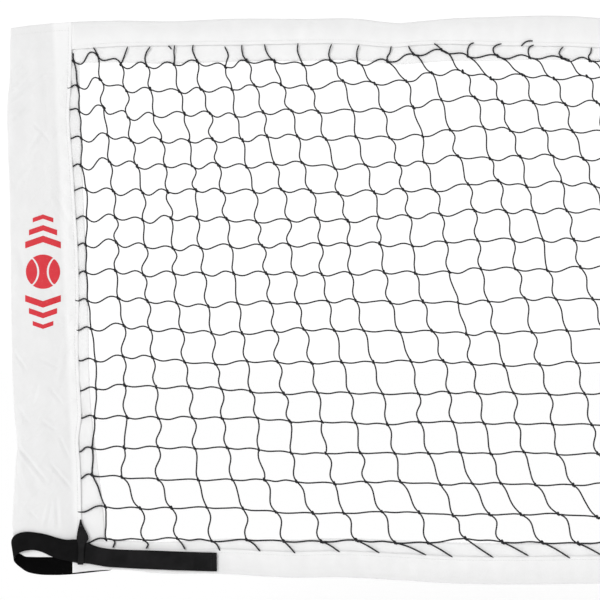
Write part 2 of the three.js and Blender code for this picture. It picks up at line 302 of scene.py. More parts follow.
class Nodes:
    """Adds shader nodes to a material and links them by their inputs' names or numbers."""

    def __init__(self, name, roughness, specular):
        self.material = bpy.data.materials.new(name)
        self.material.use_nodes = True
        self.tree = self.material.node_tree
        self.shader = self.tree.nodes["Principled BSDF"]
        self.preset(Roughness=roughness, Specular_IOR_Level=specular)

    def preset(self, **inputs):
        for key, value in inputs.items():
            self.feed(self.shader, key.replace("_", " "), value)

    def add(self, kind, settings=None, **inputs):
        node = self.tree.nodes.new(kind)
        for key, value in (settings or {}).items():
            setattr(node, key, value)
        for key, value in inputs.items():
            self.feed(node, int(key[1:]) if key[1:].isdigit() else key.replace("_", " "), value)
        return node

    def feed(self, node, socket, value):
        if isinstance(value, bpy.types.Node):
            value = value.outputs[0]
        if isinstance(value, bpy.types.NodeSocket):
            self.tree.links.new(value, node.inputs[socket])
        else:
            node.inputs[socket].default_value = value

    def cloth(self):
        """The place along and across the cloth's own surface."""
        return self.add("ShaderNodeUVMap", {"uv_map": "cloth"})

    def places(self):
        """The place on the net."""
        return self.add("ShaderNodeTexCoord").outputs["Object"]

    def parts(self, vector):
        return self.add("ShaderNodeSeparateXYZ", Vector=vector).outputs

    def math(self, operation, a, b=0.0):
        return self.add("ShaderNodeMath", {"operation": operation}, i0=a, i1=b, i2=0.0)

    def plus(self, a, b):
        return self.math("ADD", a, b)

    def minus(self, a, b):
        return self.math("SUBTRACT", a, b)

    def times(self, a, b):
        return self.math("MULTIPLY", a, b)

    def sine(self, a):
        return self.math("SINE", a)

    def size(self, a):
        return self.math("ABSOLUTE", a)

    def noise(self, vector, scale, detail=3.0, roughness=0.5):
        return self.add(
            "ShaderNodeTexNoise", Vector=vector, Scale=scale, Detail=detail, Roughness=roughness)

    def stretch(self, vector, x, y, z=1.0):
        return self.add("ShaderNodeMapping", Vector=vector, Scale=(x, y, z))

    def ramp(self, value, low, high, to_low=0.0, to_high=1.0):
        return self.add("ShaderNodeMapRange", Value=value, From_Min=low, From_Max=high,
                        To_Min=to_low, To_Max=to_high)

    def mix(self, share, a, b):
        return self.add("ShaderNodeMix", {"data_type": "RGBA"}, i0=share, i6=a, i7=b).outputs[2]

    def bump(self, height, distance, strength=1.0, under=None):
        node = self.add("ShaderNodeBump", Height=height, Distance=distance, Strength=strength)
        if under is not None:
            self.feed(node, "Normal", under)
        return node

    def weave(self, cloth):
        """Plain weave: rounded warp and weft threads that take turns on top."""
        parts = self.parts(cloth)
        sines = [self.sine(self.times(part, math.pi / pitch)) for part, pitch in zip(parts, WEAVE)]
        share = self.ramp(self.math("SIGN", self.times(*sines)), -1.0, 1.0)
        warp = self.times(self.size(sines[0]), share)
        weft = self.times(self.size(sines[1]), self.minus(1.0, share))
        return self.plus(warp, weft)

    def fold_lines(self, places, slant):
        """Thin broken lines across the net's face at a slant, as sharp folds leave in coated cloth."""
        turned = self.add("ShaderNodeMapping", Vector=places, Rotation=(0, slant, 0))
        level = self.noise(self.stretch(turned, 13.0, 13.0, 46.0), 1.0, 2.0, 0.45)
        return self.ramp(self.size(self.minus(level, 0.5)), 0.0, 0.035, 1.0, 0.0)

    def finish(self, colour, normal, roughness=None):
        self.preset(Base_Color=colour, Normal=normal)
        if roughness is not None:
            self.preset(Roughness=roughness)
        return self.material


def grey(light, warm=1.0):
    return (light, light * (1 + warm) / 2, light * warm, 1)


def polyester(name, light, crumple, seam_from=None, fold_shade=0.0):
    """White coated polyester: fine plain weave under a thin coat, creases and faint handling marks.

    Nearer the net's middle than seam_from, where the sleeve's layers are sewn flat together, the cloth
    is painted paler: painted light. A band's cloth is measured from its fold, and the last argument
    paints it darker towards the fold: painted shade.
    """
    n = Nodes(name, 0.68, 0.25)
    n.preset(Sheen_Weight=0.08, Sheen_Roughness=0.5)
    cloth, places = n.cloth(), n.places()
    threads = n.weave(cloth)
    slub = n.noise(n.stretch(cloth, 40.0, 900.0), 1.0, 2.0)
    creases = n.noise(n.stretch(places, 34.0, 34.0, 26.0), 1.0, 5.0, 0.6)
    crumpled = n.ramp(n.noise(places, 11.0, 1.0), 0.44, 0.62)
    folds = n.plus(n.fold_lines(places, 0.70), n.times(n.fold_lines(places, -0.95), 0.35))
    folds = n.times(folds, crumpled)
    marks = n.ramp(n.noise(places, 9.0, 4.0, 0.62), 0.60, 0.78)
    # Painted shade: the cloth is a little darker in the hollows of the crease bump below and paler on its
    # ridges.
    colour = n.mix(n.ramp(creases, 0.3, 0.7), grey(0.975 * light), grey(1.02 * light))
    colour = n.mix(n.times(marks, 0.35), colour, grey(0.90 * light, warm=0.99))
    colour = n.mix(n.times(threads, 0.06), colour, grey(1.08 * light))
    # Painted light: the sleeve is painted paler nearer the middle than seam_from, where its layers are sewn
    # flat.
    if seam_from is not None:
        parts = n.parts(places)
        from_middle = n.minus(n.size(parts[0]), n.times(parts[2], SLEEVE_SEAM_LEAN))
        sewn = n.ramp(from_middle, seam_from + 0.004, seam_from - 0.002)
        colour = n.mix(sewn, colour, grey(1.10 * light))
    # Painted shade: the band's cloth is painted darker towards its fold.
    if fold_shade:
        from_fold = n.size(n.parts(cloth)[1])
        colour = n.mix(n.ramp(from_fold, 0.001, 0.032, fold_shade, 0.0), colour, grey(0))
    soft = n.bump(folds, 0.0016, crumple, n.bump(creases, 0.0011, 0.5))
    normal = n.bump(threads, 0.00006, 0.6, n.bump(slub, 0.00008, 0.5, soft))
    return n.finish(colour, normal, n.ramp(creases, 0.3, 0.7, 0.60, 0.74))


def twine(lay=0.0022, strands_each_way=3):
    """Black braided polyethylene twine, a little grey where its strands catch the light."""
    n = Nodes("black_twine", 0.62, 0.22)
    parts = n.parts(n.cloth())
    along = n.times(parts[0], 2 * math.pi / lay)
    around = n.times(parts[1], 2 * math.pi * strands_each_way / AROUND)
    strands = n.math("MAXIMUM", n.sine(n.plus(along, around)), n.sine(n.minus(along, around)))
    fade = n.noise(n.places(), 55.0, 3.0)
    colour = n.mix(n.ramp(strands, -0.2, 1.0), (0.010, 0.010, 0.012, 1), (0.034, 0.034, 0.038, 1))
    colour = n.mix(n.ramp(fade, 0.45, 0.75, 0.0, 0.5), colour, (0.050, 0.050, 0.054, 1))
    return n.finish(colour, n.bump(strands, 0.00018, 0.9), n.ramp(fade, 0.3, 0.7, 0.55, 0.75))


def webbing(name, light, pick=0.0013, shine=0.10, rib=0.0016):
    """Black polypropylene webbing: ribs along it, made of slanting picks, faded and worn in places."""
    n = Nodes(name, 0.7, shine)
    cloth, places = n.cloth(), n.places()
    parts = n.parts(cloth)
    row = n.size(n.sine(n.times(parts[1], math.pi / rib)))
    lean = n.times(n.math("PINGPONG", parts[1], rib), 0.45)
    picks = n.ramp(n.sine(n.times(n.plus(parts[0], lean), 2 * math.pi / pick)), -1.0, 1.0)
    surface = n.times(n.math("POWER", row, 0.5), picks)
    fade = n.noise(places, 70.0, 4.0, 0.6)
    wear = n.noise(places, 24.0, 3.0, 0.65)
    fluff = n.noise(n.stretch(cloth, 900.0, 2600.0), 1.0, 2.0)
    colour = n.mix(surface, grey(0.35 * light), (1.5 * light, 1.5 * light, 1.6 * light, 1))
    colour = n.mix(n.ramp(fade, 0.45, 0.8, 0.0, 0.5), colour, (2.4 * light, 2.4 * light, 2.5 * light, 1))
    colour = n.mix(n.ramp(wear, 0.42, 0.72, 0.0, 0.45), colour, (3.0 * light, 2.8 * light, 3.0 * light, 1))
    normal = n.bump(surface, 0.00030, 0.9, n.bump(fluff, 0.00006, 0.5))
    return n.finish(colour, normal, n.ramp(fade, 0.3, 0.7, 0.62, 0.8))


def sewing_thread(name, dark, pale, twist=0.0007, plies=2):
    """Twisted filament thread, slightly shiny."""
    n = Nodes(name, 0.45, 0.35)
    parts = n.parts(n.cloth())
    turns = n.plus(n.times(parts[0], 2 * math.pi / twist), n.times(parts[1], 2 * math.pi * plies / AROUND))
    ply = n.ramp(n.sine(turns), -1.0, 1.0)
    return n.finish(n.mix(ply, dark, pale), n.bump(ply, 0.00007, 0.8))


def ink():
    """Red screen print: thin over the thread tops, with a few specks worn away."""
    n = Nodes("red_ink", 0.5, 0.35)
    places = n.places()
    parts = n.parts(places)
    threads = n.weave(n.add("ShaderNodeCombineXYZ", X=parts[0], Y=parts[2]))
    thin = n.ramp(n.noise(places, 260.0, 4.0, 0.6), 0.58, 0.80)
    cover = n.noise(places, 30.0, 3.0)
    colour = n.mix(n.ramp(cover, 0.35, 0.7), (0.64, 0.016, 0.030, 1), (0.69, 0.026, 0.042, 1))
    colour = n.mix(n.times(threads, 0.10), colour, (0.76, 0.08, 0.09, 1))
    colour = n.mix(n.times(thin, 0.35), colour, (0.78, 0.24, 0.24, 1))
    return n.finish(colour, n.bump(threads, 0.00005, 0.6), n.ramp(cover, 0.3, 0.7, 0.42, 0.6))


def fastening_tape(name, spacing):
    """Black hook or loop tape: rows of small tufts."""
    n = Nodes(name, 0.9, 0.08)
    tufts = n.add("ShaderNodeTexVoronoi", {"feature": "F1"}, Vector=n.cloth(), Scale=1.0 / spacing)
    height = n.ramp(tufts.outputs["Distance"], 0.1, 0.6, 1.0, 0.0)
    colour = n.mix(height, (0.004, 0.004, 0.004, 1), (0.018, 0.018, 0.019, 1))
    return n.finish(colour, n.bump(height, 0.0004, 0.9))


def floor_paint():
    """Plain pale studio floor, very slightly uneven."""
    n = Nodes("studio_floor", 0.9, 0.0)
    places = n.places()
    n.preset(Emission_Color=WHITE, Emission_Strength=0.10)
    colour = n.mix(n.noise(places, 1.3, 2.0), grey(0.965), grey(0.975))
    return n.finish(colour, n.bump(n.noise(places, 500.0), 0.0001, 0.1))


# The same white cloth in three copies: the sleeves' copy is painted darker than the bands', as painted
# shade, and the inner side's copy paler, as painted light that stands in for light coming through one layer
# and lifts the shade between the layers.
BAND_CLOTH = polyester("band_polyester", 0.885, 0.06, fold_shade=0.085)
SLEEVE_CLOTH = polyester("sleeve_polyester", 0.82, 0.16, seam_from=-(FOLD_X + 65) * MM)
LIT_INNER_CLOTH = polyester("polyester_inner_side_painted_light", 0.90, 0.03)
BLACK_TWINE = twine()
BLACK_WEBBING = webbing("black_webbing", 0.0075)
# The loop's webbing is painted darker than the tail's and tip's, as painted shade, and the webbing's inner
# side darker still, as painted shade.
SHADED_LOOP_WEBBING = webbing("loop_webbing_painted_shade", 0.0045, shine=0.07)
SHADED_INNER_WEBBING = webbing("webbing_inner_side_painted_shade", 0.0015, shine=0.04)
KEEPER_WEBBING = webbing("keeper_webbing", 0.0125, 0.0011)
WHITE_THREAD = sewing_thread("white_thread", grey(0.70), grey(0.90))
BLACK_THREAD = sewing_thread("black_thread", grey(0.006), (0.05, 0.05, 0.055, 1))
RED_INK = ink()
HOOK_TAPE = fastening_tape("hook_tape", 0.0011)
LOOP_TAPE = fastening_tape("loop_tape", 0.0006)


# ---- The net's outline ------------

def roaming(seed, start, stop, step, low, high):
    """Outline points at uneven steps, with random values between low and high."""
    rng = random.Random(seed)
    points = []
    u = start
    while u < stop:
        points.append((u, rng.uniform(low, high)))
        u += step * rng.uniform(0.7, 1.35)
    return points


# Height of the head band's fold, and how far its front and back reach down from it: the left end as
# it hangs, then gentle waves to the right end.
head_top = smooth_curve(
    [(0, -14), (20, -11), (85, -5), (155, -2.6), (238, -3.5), (322, 0), (430, 0), (514, -0.3),
     (544, -4), (568, -6), (600, -3.5), (643, 0.4), (704, 2.6), (774, 4.6), (822, 3.9), (863, 1.2)]
    + roaming(5, 960, SPAN - 200, 95, -4, 4)
    + [(SPAN - 90, -4), (SPAN - 20, -10), (SPAN, -13)])
head_reach = smooth_curve(
    [(90, 40), (238, 35.5), (345, 38), (424, 36), (535, 36.5), (581, 34), (667, 38.5), (774, 44), (870, 43)]
    + roaming(6, 950, SPAN - 90, 110, 35, 43))
head_back_reach = smooth_curve(
    [(90, 60), (320, 62), (560, 60), (800, 64)] + roaming(7, 900, SPAN - 90, 140, 58, 65))

# The same for the foot band, which reaches up from its fold.
foot_bottom = smooth_curve(
    [(90, -809), (120, -805.5), (146, -804), (165, -804), (210, -808.5), (310, -810), (412, -815.5),
     (483, -815), (571, -819.5), (645, -824), (748, -825.5), (863, -824)]
    + roaming(8, 960, SPAN - 560, 120, -826, -819)
    + [(SPAN - 450, -817), (SPAN - 310, -811), (SPAN - 200, -808), (SPAN - 140, -804.5), (SPAN - 90, -808)])
foot_reach = smooth_curve(
    [(90, 27), (150, 29), (311, 36), (483, 38), (600, 39), (740, 40), (850, 40)]
    + roaming(9, 960, SPAN - 400, 120, 36, 41) + [(SPAN - 300, 35), (SPAN - 150, 29), (SPAN - 90, 27)])
foot_back_reach = smooth_curve(
    [(90, 40), (200, 44), (330, 52), (560, 58), (800, 60)] + roaming(10, 900, SPAN - 700, 140, 57, 62)
    + [(SPAN - 560, 58), (SPAN - 330, 52), (SPAN - 200, 44), (SPAN - 90, 40)])

# Outer fold and free edges of the left sleeve, by height.
sleeve_fold = smooth_curve(
    [(0, 2.6), (-14, 2.2), (-28, 1.5), (-88, 0.9), (-127, -2.4), (-191, -1.3), (-215, -0.3), (-308, 2),
     (-423, 3.2), (-530, 5.5), (-583, 8.5), (-610, 11.2), (-623, 12.2), (-640, 10.6), (-653, 9.6),
     (-695, 7.2), (-731, 5.4), (-760, 6), (MOUTH, 8)])
sleeve_front_edge = smooth_curve(
    [(0, 92), (-88, 90.5), (-142, 88), (-203, 92), (-273, 96.4), (-343, 100.5), (-401, 102), (-482, 101),
     (-546, 103.7), (-583, 105.2), (-612, 101.5), (-650, 103.7), (-731, 105.5), (MOUTH, 104)])
sleeve_back_edge = smooth_curve(
    [(0, 104), (-88, 103), (-203, 106), (-343, 112), (-450, 116), (-560, 119), (-640, 128), (-712, 137),
     (-760, 139), (MOUTH, 134)])


# ---- Netting ------------

# Each column's middle, and how far its lower end stands to the right of its upper end: the net was
# bunched to the left when it was sewn to the head band.
column_middle = smooth_curve(
    [(0, 118.8), (4, 295), (8, 475), (12, 664), (16, 865), (20, 1058), (30, 1505), (45, 2180),
     (COLUMNS - 1, SPAN - 118.8)])
column_lean = smooth_curve(
    [(0, 48), (4, 109), (8, 173), (12, 224), (16, 294), (20, 335), (25, 352), (30, 338), (38, 285),
     (46, 200), (54, 105), (COLUMNS - 1, 30)])
# The share of that lean reached by a given share of the net's height.
lean_share = smooth_curve([(0, 0), (0.05, 0.06), (0.16, 0.17), (0.29, 0.31), (0.5, 0.43), (0.71, 0.64),
                           (0.81, 0.70), (0.87, 0.76), (0.935, 0.90), (1, 1)])
# The top row's first knots as (u, z); the rest follow the rule in knots().
TOP_KNOTS = [
    (94.6, -61.8), (128.5, -52), (163.5, -66.6), (201.5, -68.5), (241, -66.5), (275, -62), (316, -70),
    (347, -61), (388, -62), (429, -66.7), (470, -61), (510, -64), (553, -62), (591, -51.5), (632, -45.5),
    (670, -54.5), (714, -54.5), (760, -56.2), (807, -57), (848, -61)]


def knots():
    """The knots' places, by column and row."""
    rng = np.random.default_rng(SEED)
    c, r = np.meshgrid(np.arange(COLUMNS), np.arange(ROWS), indexing="ij")
    down = (r / (ROWS - 1)) * 0.97 + 0.03 * (r / (ROWS - 1)) ** 2
    u = column_middle(c) + column_lean(c) * (lean_share(down) - 0.5)
    z = -(61.3 + 36.8 * r + 0.248 * r ** 2)
    # The upper rows lie higher in two stretches, and the lower ones sag between the net's ends.
    z += 12 * smoothstep(11, 14, c) * smoothstep(27, 20, c) * smoothstep(0.62, 0.42, down)
    z += 5 * np.exp(-((c - 33) / 4) ** 2) * (1 - down)
    z -= 5.0 * smoothstep(0.35, 1.0, down) * smoothstep(0, 9, c) * smoothstep(0, 9, COLUMNS - 1 - c)
    u += 2.4 * waves(22, 190)(u, z) * np.sin(math.pi * down) + rng.normal(0, 1.9, u.shape)
    z += 2.0 * waves(21, 260)(u, z) * np.sin(math.pi * down) + rng.normal(0, 1.6, z.shape)
    top_u = u[:, 0] + rng.normal(0, 2.0, COLUMNS)
    top_z = z[:, 0] + rng.normal(0, 4.6, COLUMNS)
    top_u[:len(TOP_KNOTS)], top_z[:len(TOP_KNOTS)] = np.array(TOP_KNOTS, float).T
    # The unevenness of the top row carries on down the columns, less and less.
    fading = np.exp(-np.arange(ROWS) / 4.0)
    u = u + np.outer(top_u - u[:, 0], fading)
    z = z + np.outer(top_z - z[:, 0], fading)
    # Some way from the sleeve the upper rows are drawn up to the right and the lower ones sag.
    drawn = smoothstep(8.5, 12, c) * smoothstep(26, 18, c) * smoothstep(0, 0.06, down)
    u = u + 14 * drawn * smoothstep(0.32, 0.08, down)
    z = z + 7.5 * drawn * smoothstep(0.22, 0.06, down)
    sagging = smoothstep(3, 8, c) * smoothstep(3, 8, COLUMNS - 1 - c)
    sagging = sagging * smoothstep(0.55, 0.72, down) * smoothstep(1.0, 0.93, down)
    u = u - 13 * sagging * smoothstep(11.2, 13, c) * smoothstep(24, 17, c)
    z = z - 5.5 * sagging
    # Above the lower left corner the first columns are held back beside the sleeve.
    u = u - smoothstep(3.2, 1, c) * (6 * (r == 14) + 14.6 * (r == 15))
    y = rng.normal(0, 0.35, u.shape)
    return stack(u, y, z)


KNOTS = knots()


def bars(starts, ends, first, last, rng, steps=13):
    """Twine from knot to knot, leaving the straight line by first early on and by last towards the end."""
    t = np.linspace(0, 1, steps)
    straight = starts[:, None] + (ends - starts)[:, None] * t[None, :, None]
    wave, bow = np.sin(2 * math.pi * t), np.sin(math.pi * t) ** 2
    kink = rng.normal(0, 0.16, (len(starts), 1)) * np.sin(4 * math.pi * t)[None]
    first, last = np.asarray(first), np.asarray(last)
    offset = np.outer((first - last) / 2, wave) + np.outer((first + last) / 2, bow) + kink
    span = ends - starts
    across = unit(stack(-span[:, 2], 0 * span[:, 1], span[:, 0]))
    through = rng.normal(0, 0.5, (len(starts), 1)) * np.sin(math.pi * t)[None]
    return straight + across[:, None] * offset[..., None] + through[..., None] * np.array([0.0, 1.0, 0.0])


def knot_turns(centres, rng):
    """Each knot is a tight trefoil of twine, longer down to the right, where both twines leave it."""
    t = np.linspace(0, 2 * math.pi, 22)[None]
    count = len(centres)
    phase = rng.uniform(0, 2 * math.pi, (count, 1))
    size = rng.uniform(0.86, 1.12, (count, 1))
    a = np.sin(t + phase) + 2 * np.sin(2 * t + phase * 2)
    b = np.cos(t + phase) - 2 * np.cos(2 * t + phase * 2)
    depth = -np.sin(3 * t + phase * 3)
    slant = np.radians(-52) + rng.normal(0, 0.22, (count, 1))
    long = 1.12 * size * a
    short = 0.50 * size * b
    x = long * np.cos(slant) - short * np.sin(slant)
    z = long * np.sin(slant) + short * np.cos(slant)
    return centres[:, None] + stack(x, 0.75 * depth, z)


# The cut ends above the top row, left to right: where each passes and stops, as (right, up) of its knot.
TOP_ENDS = [
    [(-1, 6), (-1, 12)], [(-2, 5), (-5, 10)], [(4, 10), (7, 18), (10, 26)], [(-3, 9), (-1, 19), (5, 28)],
    [(0.5, 9), (0, 18), (1, 28)], [(-4, 8), (-7, 17), (-6, 24)], [(2, 9), (4, 15), (-1, 30)],
    [(-5, 7), (-7, 16), (-7, 23)], [(-8, 7), (-13, 16), (-15, 25)], [(-4, 9), (-8, 21), (-7, 31)],
    [(-3, 7), (-2, 16), (1, 24)], [(-2, 7), (-2, 16), (1, 26)], [(-1, 5), (3, 13), (5, 22)],
    [(-5, 6), (-8, 12)], [(-5, 5), (-11.5, 9.5)], [(0, 11), (3, 17), (9, 19.5)],
    [(-6, 5), (-7, 12), (-2, 16), (5, 18)], [(-2, 9), (-1, 14), (6, 18)], [(-4, 7), (-1, 13), (2, 16)],
    [(-2, 6), (1, 12), (2, 19)]]

# The same below the bottom row.
LOW_ENDS = [
    [(8, 0), (15, -3), (12, -12)], [(7, -8), (4, -15)], [(7, -7), (14, -17)], [(6, -4), (11, -13)],
    [(9, -6), (18, -17)], [(8, -8), (17, -18)], [(12, -4), (31, -14)], [(14, -7), (34, -19)],
    [(18, -5), (46, -17)], [(15, -7), (39, -20)], [(14, -10), (39, -26)], [(17, -8), (44, -22)],
    [(16, -7), (41, -21)]]


def loose_end(start, passes, lift, steps=13):
    """A cut end: from start through each (right, up) place, coming forward by lift at its tip."""
    points = np.array([(0.0, 0.0)] + [tuple(p) for p in passes])
    run = reached(np.hypot(*np.diff(points, axis=0).T))
    right, up = curves_at(run, points, np.linspace(0, run[-1], steps))
    forward = lift * smoothstep(0.25, 0.9, np.linspace(0, 1, steps))
    return np.asarray(start) + stack(right, -forward, up)


def picked(ends, column, rng):
    """A column's own cut end, or beyond the listed ones any of them but the first two."""
    return np.array(ends[column] if column < len(ends) else ends[rng.integers(2, len(ends))], float)


def loose_ends(grid, rng):
    """Cut ends of twine: up to the head band's flap, down to the foot band's and into both sleeves."""
    over_flap = 3.0
    runs = []
    for c in range(COLUMNS):
        top = grid[c, 0]
        room = head_top(top[0]) - head_reach(top[0]) - top[2]
        passes = picked(TOP_ENDS, c, rng)
        if c >= len(TOP_ENDS):
            passes *= (room + rng.uniform(-2, 3)) / passes[-1, 1]
            passes[:, 0] *= rng.choice((-1, 1))
        runs.append(loose_end(top, passes, over_flap if passes[-1, 1] > room - 2 else 0.6))
        low = grid[c, -1]
        passes = picked(LOW_ENDS, c, rng) * rng.uniform(0.85, 1.1, (1, 2))
        room = low[2] - foot_bottom(low[0]) - foot_reach(low[0])
        runs.append(loose_end(low, passes, over_flap if -passes[-1, 1] > room - 2 else 2.0))
    # Two scraps of twine lie on the head band's flap.
    runs.append(loose_end(grid[17, 0] + (-12.5, -3.4, 16.0), [(3, 3.5), (8, 7), (17, 8)], 0.2))
    runs.append(loose_end(grid[4, 0] + (-8.5, -3.4, 27.0), [(2, -1.5), (5, -5)], 0.1))
    for r in range(ROWS):
        for c, sign in ((0, -1), (COLUMNS - 1, 1)):
            knot = grid[c, r]
            edge = min(sleeve_front_edge(knot[2]), knot[0] if c == 0 else SPAN - knot[0]) - 7
            gap = knot[0] - edge if c == 0 else (SPAN - edge) - knot[0]
            drop = (-0.16 if r > 13 else 0.05) * gap + rng.normal(0, 1.6)
            target = knot + np.array([sign * gap, 0, drop])
            arch = sign * min(gap, 22) * 0.12
            runs.append(bars(knot[None], target[None], [arch], [-arch], rng)[0])
    return np.array(runs)


def netting():
    """The twines and knots, in three pieces of each from left to right."""
    rng = np.random.default_rng(SEED + 1)
    grid = KNOTS
    last_column = COLUMNS - 2
    down = np.arange(ROWS) / (ROWS - 1)
    level_swing = 4.4 - 3.2 * smoothstep(0.25, 0.95, down)
    columns = np.arange(last_column + 1)
    near_end = np.exp(-np.minimum(columns, last_column - columns) / 2.2)
    runs = [[] for _ in columns]
    for r in range(ROWS):
        swing = level_swing[r] * (0.8 + 0.75 * near_end)
        first = -swing * rng.uniform(0.5, 1.3, len(columns))
        last = swing * rng.uniform(0.4, 1.2, len(columns))
        for c, run in enumerate(bars(grid[:-1, r], grid[1:, r], first, last, rng)):
            runs[c].append(run)
    for r in range(ROWS - 1):
        # Each twine leaves its knot down to the right and comes to the next from the left; the odd
        # one, more often near the top, does the opposite.
        first = rng.normal(2.7 + 2.4 * (r == ROWS - 2), 1.4, COLUMNS)
        last = rng.normal(-2.4, 1.4, COLUMNS)
        turned = rng.random(COLUMNS) < 0.10 * (1 - down[r])
        first, last = np.where(turned, -0.8 * first, first), np.where(turned, -0.6 * last, last)
        first[0], last[0], first[-1], last[-1] = 1.4, 0.2, 1.4, 0.2
        for c, run in enumerate(bars(grid[:, r], grid[:, r + 1], first, last, rng)):
            runs[min(c, last_column)].append(run)
    for run in loose_ends(grid, rng):
        nearest = int(np.argmin(np.abs(grid[:, :, 0] - run[0, 0]).min(axis=1)))
        runs[min(nearest, last_column)].append(run)
    turns = knot_turns(grid.reshape(-1, 3), rng).reshape(COLUMNS, ROWS, -1, 3)
    cuts = np.linspace(0, COLUMNS, 4).astype(int)
    for part, low, high in zip(("left", "middle", "right"), cuts[:-1], cuts[1:]):
        strands = np.array(sum(runs[low:high], []))
        knot_paths = turns[low:high].reshape(-1, turns.shape[2], 3)
        for name, paths, radius in ((f"netting_twine_{part}", strands, TWINE / 2),
                                    (f"netting_knots_{part}", knot_paths, TWINE * 0.44)):
            # The twine is drawn tight along the top and is fuller lower down.
            fullness = 0.95 + 0.15 * np.clip(-paths[:, 0, 2] / HEIGHT, 0, 1)
            new_piece(name, tubes(paths, radius * fullness, 6), BLACK_TWINE, "twine", "net", "netting")


# ---- Bands ------------

BAND_SEAM_IN = 5.1      # from a band's free edge in front to its seam
BAND_ROWS = 15          # rows of points up each side of a band; three more go round its fold

band_ripple = waves(31, 34)
band_pucker = waves(32, 11)
band_dent = waves(33, 120)


def packing_creases(seed, start, stop, spacing):
    """Where the faint creases from packing cross a band, each with its slant and its depth."""
    rng = random.Random(seed)
    lines = []
    u = start
    while u < stop:
        lines.append((u, rng.uniform(-0.35, 0.35), rng.uniform(0.35, 0.9) * rng.choice((-1, 1))))
        u += spacing * rng.uniform(0.4, 1.7)
    return lines


def crease_relief(lines, u, z, width=3.2):
    """How far those creases raise or sink the cloth."""
    relief = np.zeros(np.broadcast(u, z).shape)
    for at, slope, depth in lines:
        distance = np.abs(u - at - slope * z) / width
        relief = relief + np.where(distance < 6, depth * np.exp(-distance), 0)
    return relief


def band(name, fold, reach, back_reach, up, seed):
    """A strip folded over the edge of the netting; up is 1 for the head band and -1 for the foot band."""
    start = 92.0 if up > 0 else 93.0
    u = np.linspace(start, SPAN - start, 721)
    fold_z = fold(u)
    creases = packing_creases(seed, start, SPAN - start, 105)
    fold_radius = 2.1
    half_sewn = 1.2
    stations = []
    for side, depth in ((-1, reach(u)), (1, back_reach(u))):
        for k in range(BAND_ROWS):
            share = k / (BAND_ROWS - 1) if side > 0 else 1 - k / (BAND_ROWS - 1)
            distance = fold_radius + (depth - fold_radius) * share
            z = fold_z - up * distance
            to_seam = (depth - distance) if side < 0 else (reach(u) - distance)
            pinch = np.exp(-((to_seam - BAND_SEAM_IN) / 7.0) ** 2)
            free = smoothstep(BAND_SEAM_IN, 0, to_seam) if side < 0 else smoothstep(-2, -24, to_seam)
            y = side * (half_sewn + (fold_radius - half_sewn) * smoothstep(9, 0, distance))
            billow = (1.0 - pinch) * smoothstep(2, 14, distance)
            billow = billow * smoothstep(-1, 5, to_seam - BAND_SEAM_IN)
            y = y + side * billow * (0.8 + 0.5 * band_dent(u, z + side * 300))
            y = y + 0.30 * (1 - free) * band_ripple(u, z * 0.6 + side * 90) * smoothstep(1, 10, distance)
            y = y + 0.16 * pinch * band_pucker(u, z * 0.2 + side * 50)
            y = y + side * free * 0.35 * np.abs(band_ripple(u + 400, z * 0.2))
            y = y + 0.60 * crease_relief(creases, u, up * z)
            stations.append(stack(u, y, z))
        if side < 0:
            for angle in (45, 90, 135):
                turn = math.radians(angle)
                y = -fold_radius * math.cos(turn) + 0 * u
                z = fold_z - up * fold_radius * (1 - math.sin(turn))
                stations.append(stack(u, y, z))
    grid = np.stack(stations, axis=1)
    if up < 0:
        grid = grid[:, ::-1]
    shape = shell(grid, CLOTH)
    # The cloth is measured from its fold, for its material.
    shape[2][:, 1] -= ((reach(u) if up > 0 else back_reach(u)).mean() + 1.2) * MM
    piece = new_piece(
        name + "_cloth", shape, BAND_CLOTH, "polyester", "net", name, inner=one_side(grid, 1, LIT_INNER_CLOTH))
    width = (reach(u) + back_reach(u)).mean() + 2
    return grid


# ---- Seams ------------

def along_line(line, distances):
    """Points at the given distances along a polyline."""
    run = reached(np.linalg.norm(np.diff(line, axis=0), axis=-1))
    return stack(*(np.interp(distances, run, line[:, k]) for k in range(3)))


def stitches(line, outward, length=3.3, gap=0.7, lift=CLOTH / 2):
    """A row of stitches: each rises from the cloth, lies on it for its length and dives in again."""
    total = np.linalg.norm(np.diff(line, axis=0), axis=-1).sum()
    starts = np.arange(gap, total - length, length + gap)
    share = np.array([0.0, 0.16, 0.5, 0.84, 1.0])
    rise = np.array([-0.25, 0.16, 0.22, 0.16, -0.25])
    centres = along_line(line, (starts[:, None] + share * length).ravel()).reshape(-1, len(share), 3)
    return centres + np.asarray(outward, float) * (lift + rise[None, :, None])


def sew(name, runs, stands_for, body="net", black=False):
    """One piece from rows of stitches, in white thread or black."""
    thread, slot = (BLACK_THREAD, "thread_black") if black else (WHITE_THREAD, "thread")
    shape = join([tubes(run, THREAD / 2, 4) for run in runs])
    new_piece(name, shape, thread, slot, body, stands_for)


def at_height(grid, stations, z):
    """The line along the cloth, within those stations, that lies at height z(u)."""
    part = grid[:, stations]
    order = np.argsort(part[:, :, 2], axis=1)
    line = []
    for i in range(len(part)):
        rows = part[i][order[i]]
        line.append([rows[0, 0], np.interp(z[i], rows[:, 2], rows[:, 1]), z[i]])
    return np.array(line)


def sew_band(name, grid, up):
    """The lockstitch seam that joins the band's layers through the netting."""
    stations = grid if up > 0 else grid[:, ::-1]
    z = stations[:, 0, 2] + up * BAND_SEAM_IN
    front, back = slice(0, BAND_ROWS - 1), slice(BAND_ROWS + 4, None)
    unsewn = 7      # points at each end of the band
    for thread, side, layer in (("needle", -1, front), ("bobbin", 1, back)):
        line = at_height(stations, layer, z)[unsewn:-unsewn]
        sew(f"{name}_{thread}_stitches", [stitches(line, (0, side, 0))], f"{name}_{thread}_thread")


# ---- Sleeves ------------

